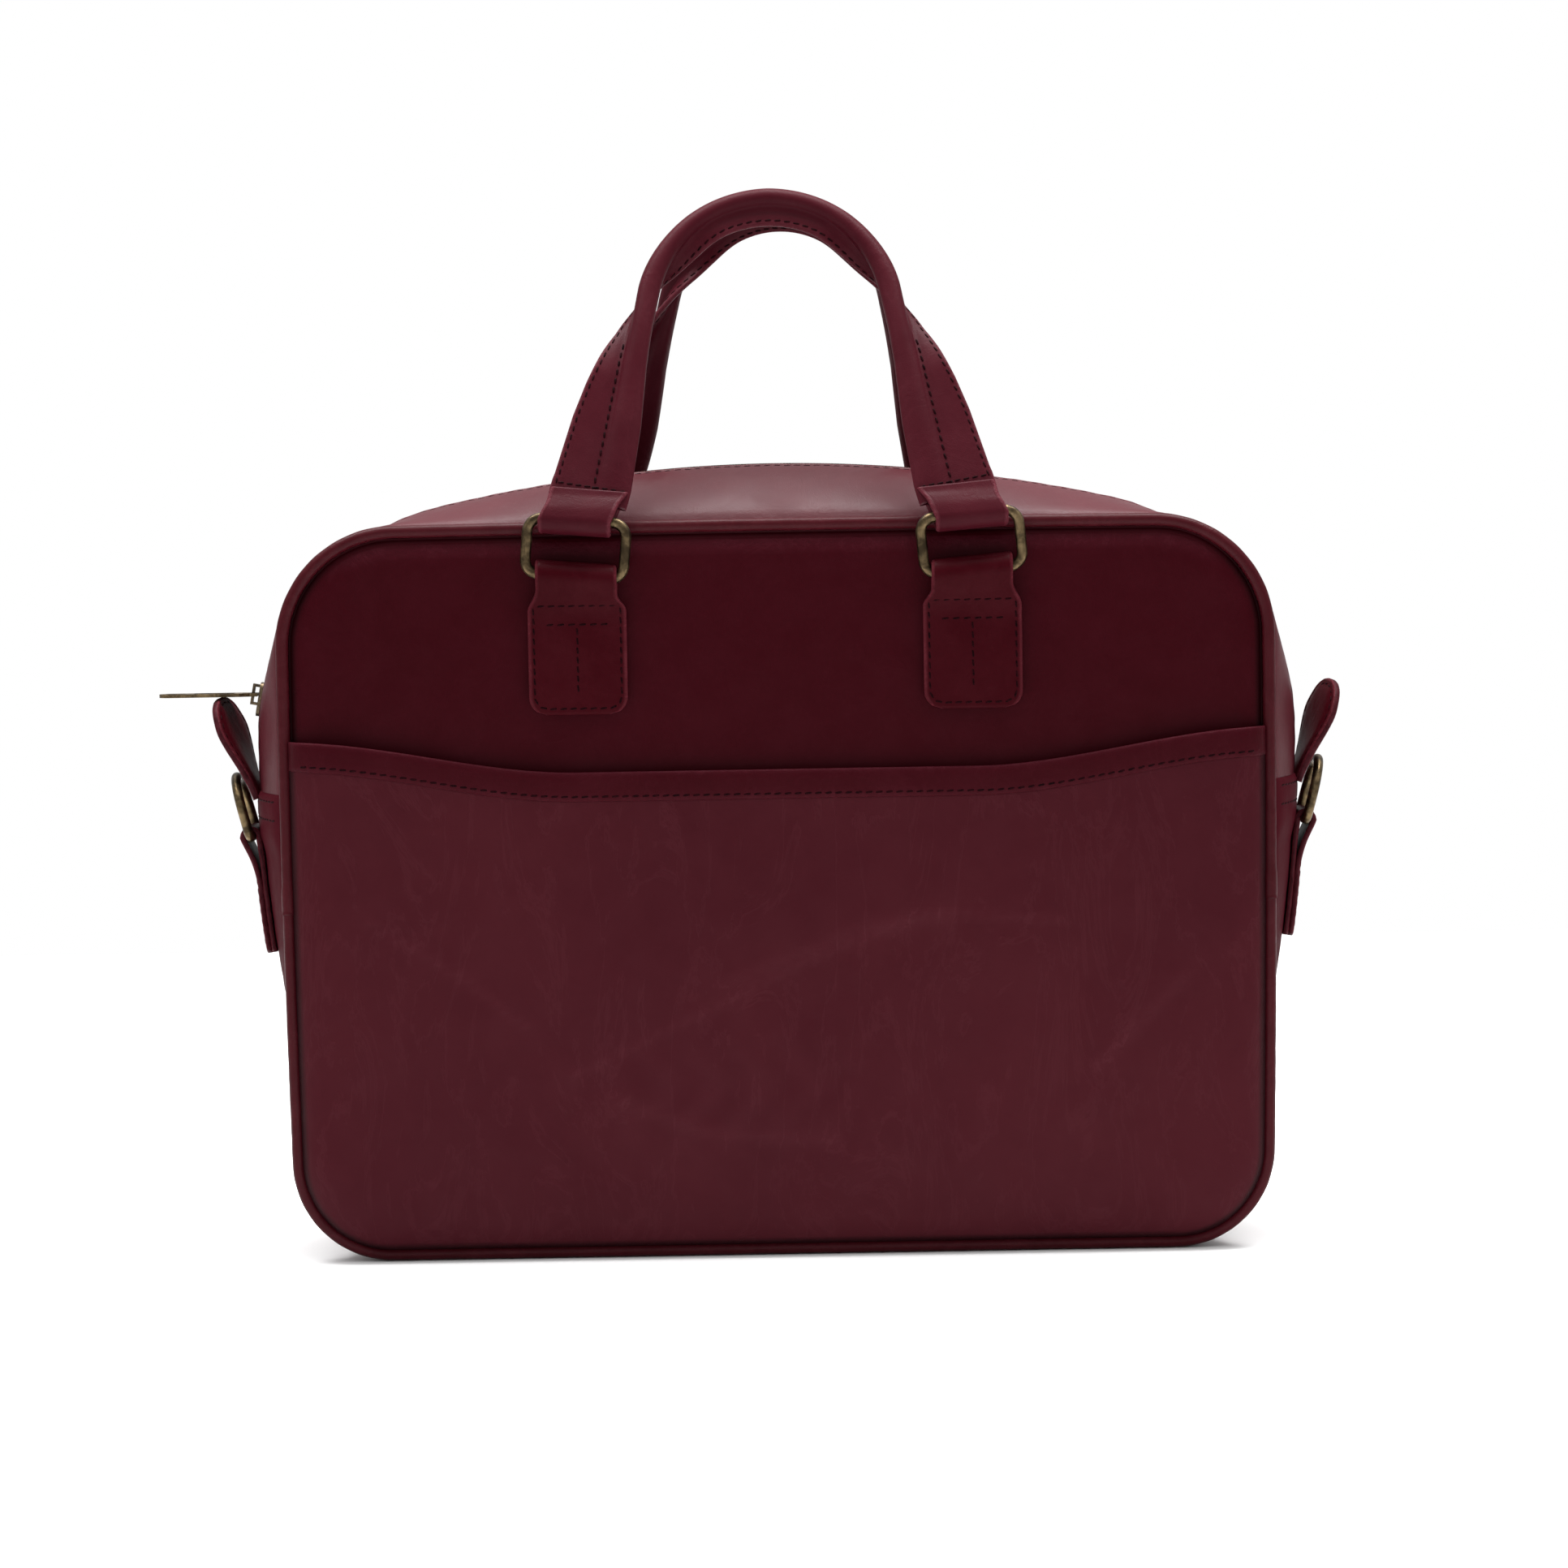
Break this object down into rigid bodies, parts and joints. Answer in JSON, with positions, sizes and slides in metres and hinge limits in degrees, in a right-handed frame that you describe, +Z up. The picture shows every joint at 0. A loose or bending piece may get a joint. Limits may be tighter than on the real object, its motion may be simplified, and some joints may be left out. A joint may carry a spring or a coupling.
{
  "type": "document bag",
  "caption": "Leather document bag with a wrap-round top zip, rolled top handles on rectangular rings, a front slip pocket, piped panels and side D-rings.",
  "frame": {"origin": "centre of the bag's flat resting base", "axes": "+Z up, front pocket faces -Y, the zip slider is at the -X side"},
  "size_m": [0.4524, 0.112, 0.4032],
  "materials": {
    "body_leather": "smooth semi-gloss aniline leather, burgundy",
    "pocket_leather": "smooth pull-up leather with fine creases, burgundy",
    "handle_leather": "smooth semi-gloss leather, burgundy",
    "tab_leather": "smooth semi-gloss leather, burgundy",
    "piping_leather": "thin leather over a cord, burgundy",
    "antique_brass": "antique brass, darkened in the hollows",
    "zip_metal": "dark antique brass",
    "zip_tape": "woven burgundy zip tape",
    "lining": "plain woven cotton lining",
    "foam": "thin foam backing",
    "board": "fibre board",
    "cord_core": "twisted paper and cotton cord"
  },
  "bodies": {
    "bag": {"back_chape_left": "tab_leather", "back_chape_right": "tab_leather", "back_foam": "foam", "back_panel": "body_leather", "base_board": "board", "d_ring_chape_left": "tab_leather", "d_ring_chape_right": "tab_leather", "front_chape_left": "tab_leather", "front_chape_right": "tab_leather", "front_foam": "foam", "front_panel": "body_leather", "front_pocket_panel": "pocket_leather", "lining_back": "lining", "lining_front": "lining", "lining_gusset": "lining", "lower_gusset": "body_leather", "piping_back_lower": "piping_leather", "piping_back_upper": "piping_leather", "piping_core_back": "cord_core", "piping_core_front": "cord_core", "piping_front_lower": "piping_leather", "piping_front_upper": "piping_leather", "pocket_hem": "pocket_leather", "top_gusset_back": "body_leather", "top_gusset_front": "body_leather", "zip_tab_left": "tab_leather", "zip_tab_right": "tab_leather", "zipper_chain_back": "zip_metal", "zipper_chain_front": "zip_metal", "zipper_end_stops": "zip_metal", "zipper_tape_back": "zip_tape", "zipper_tape_front": "zip_tape"},
    "front_rings": {"front_ring_left": "antique_brass", "front_ring_right": "antique_brass"},
    "front_handle": {"front_handle_strap": "handle_leather", "front_handle_core": "cord_core", "front_handle_loop_left": "handle_leather", "front_handle_loop_right": "handle_leather"},
    "back_rings": {"back_ring_left": "antique_brass", "back_ring_right": "antique_brass"},
    "back_handle": {"back_handle_strap": "handle_leather", "back_handle_core": "cord_core", "back_handle_loop_left": "handle_leather", "back_handle_loop_right": "handle_leather"},
    "d_ring_left": {"d_ring_left": "antique_brass"},
    "d_ring_right": {"d_ring_right": "antique_brass"},
    "zip_slider": {"zip_slider": "zip_metal"},
    "zip_pull": {"zip_pull": "antique_brass"}
  },
  "joints": [
    {"name": "front_ring_hinge", "type": "hinge", "parent": "bag", "child": "front_rings", "pos_m": [0, -0.0506, 0.2575], "axis": [1, 0, 0], "range_deg": [0, 90]},
    {"name": "front_handle_hinge", "type": "hinge", "parent": "front_rings", "child": "front_handle", "pos_m": [0, -0.0506, 0.2788], "axis": [1, 0, 0], "range_deg": [0, 100]},
    {"name": "back_ring_hinge", "type": "hinge", "parent": "bag", "child": "back_rings", "pos_m": [0, 0.0506, 0.2575], "axis": [-1, 0, 0], "range_deg": [0, 90]},
    {"name": "back_handle_hinge", "type": "hinge", "parent": "back_rings", "child": "back_handle", "pos_m": [0, 0.0506, 0.2788], "axis": [-1, 0, 0], "range_deg": [0, 100]},
    {"name": "d_ring_left_hinge", "type": "hinge", "parent": "bag", "child": "d_ring_left", "pos_m": [-0.20165, 0, 0.1593], "axis": [0, -1, 0], "range_deg": [0, 145]},
    {"name": "d_ring_right_hinge", "type": "hinge", "parent": "bag", "child": "d_ring_right", "pos_m": [0.20165, 0, 0.1593], "axis": [0, 1, 0], "range_deg": [0, 145]},
    {"name": "zip_travel", "type": "hinge", "parent": "bag", "child": "zip_slider", "pos_m": [-0.1065, 0, 0.19472], "axis": [0, 1, 0], "range_deg": [0, 58]},
    {"name": "zip_pull_hinge", "type": "hinge", "parent": "zip_slider", "child": "zip_pull", "pos_m": [-0.19912, 0, 0.21346], "axis": [0, 1, 0], "range_deg": [0, 75]}
  ]
}
